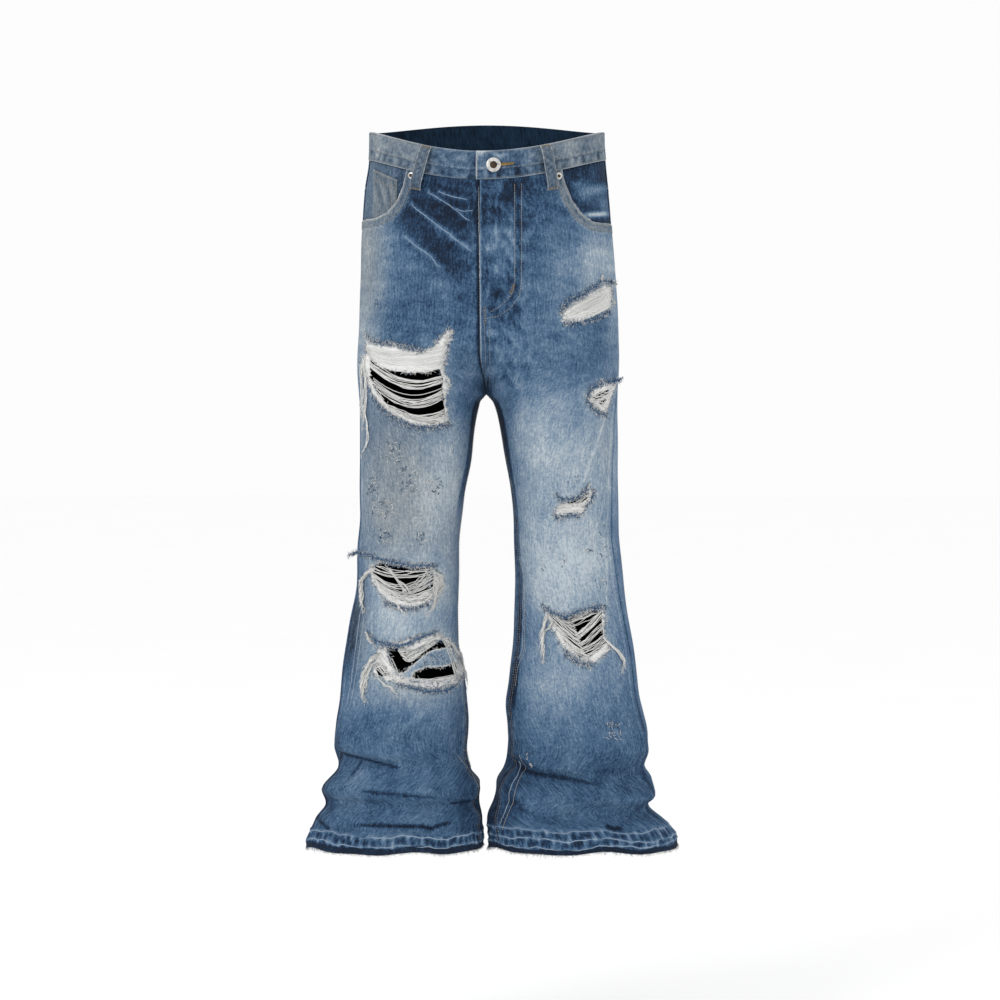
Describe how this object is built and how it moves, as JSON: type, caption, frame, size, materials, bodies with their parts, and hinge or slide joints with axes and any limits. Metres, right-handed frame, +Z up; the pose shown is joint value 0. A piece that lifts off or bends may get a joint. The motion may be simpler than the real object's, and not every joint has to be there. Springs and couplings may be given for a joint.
{
  "type": "ripped jeans",
  "caption": "Ripped and frayed flared denim jeans, filled out and hollow, with a let-down raw hem stacked over the lower legs.",
  "frame": {"origin": "middle of the waist ring, half way up the waistband at the side", "axes": "+Z up, -Y to the wearer's front, -X to the wearer's right"},
  "size_m": [0.5059, 0.2402, 0.9865],
  "materials": {
    "denim_front": "washed blue denim, faded at the thighs, with white threads in the rips",
    "denim_back": "washed blue denim",
    "denim_band": "grey-blue worn denim, dark inside",
    "denim_dark": "unwashed dark indigo denim",
    "denim_pocket": "faded denim",
    "denim_loop": "denim worn pale along its edges",
    "thread": "off-white cotton thread",
    "button_steel": "dull polished white metal",
    "rivet_metal": "dull worn metal"
  },
  "bodies": {
    "root": {"front_panel_right": "denim_front", "front_panel_left": "denim_front", "back_panel_right": "denim_back", "back_panel_left": "denim_back", "back_yoke_right": "denim_back", "back_yoke_left": "denim_back", "waistband": "denim_band", "fly_shield": "denim_dark", "pocket_facing_right": "denim_pocket", "pocket_facing_left": "denim_pocket", "coin_pocket": "denim_pocket", "back_pocket_right": "denim_back", "back_pocket_left": "denim_back", "waist_button": "button_steel", "rivet_right": "rivet_metal", "rivet_left": "rivet_metal", "belt_loop_1": "denim_loop", "belt_loop_2": "denim_loop", "belt_loop_3": "denim_loop", "belt_loop_4": "denim_loop", "belt_loop_5": "denim_loop"}
  },
  "joints": []
}
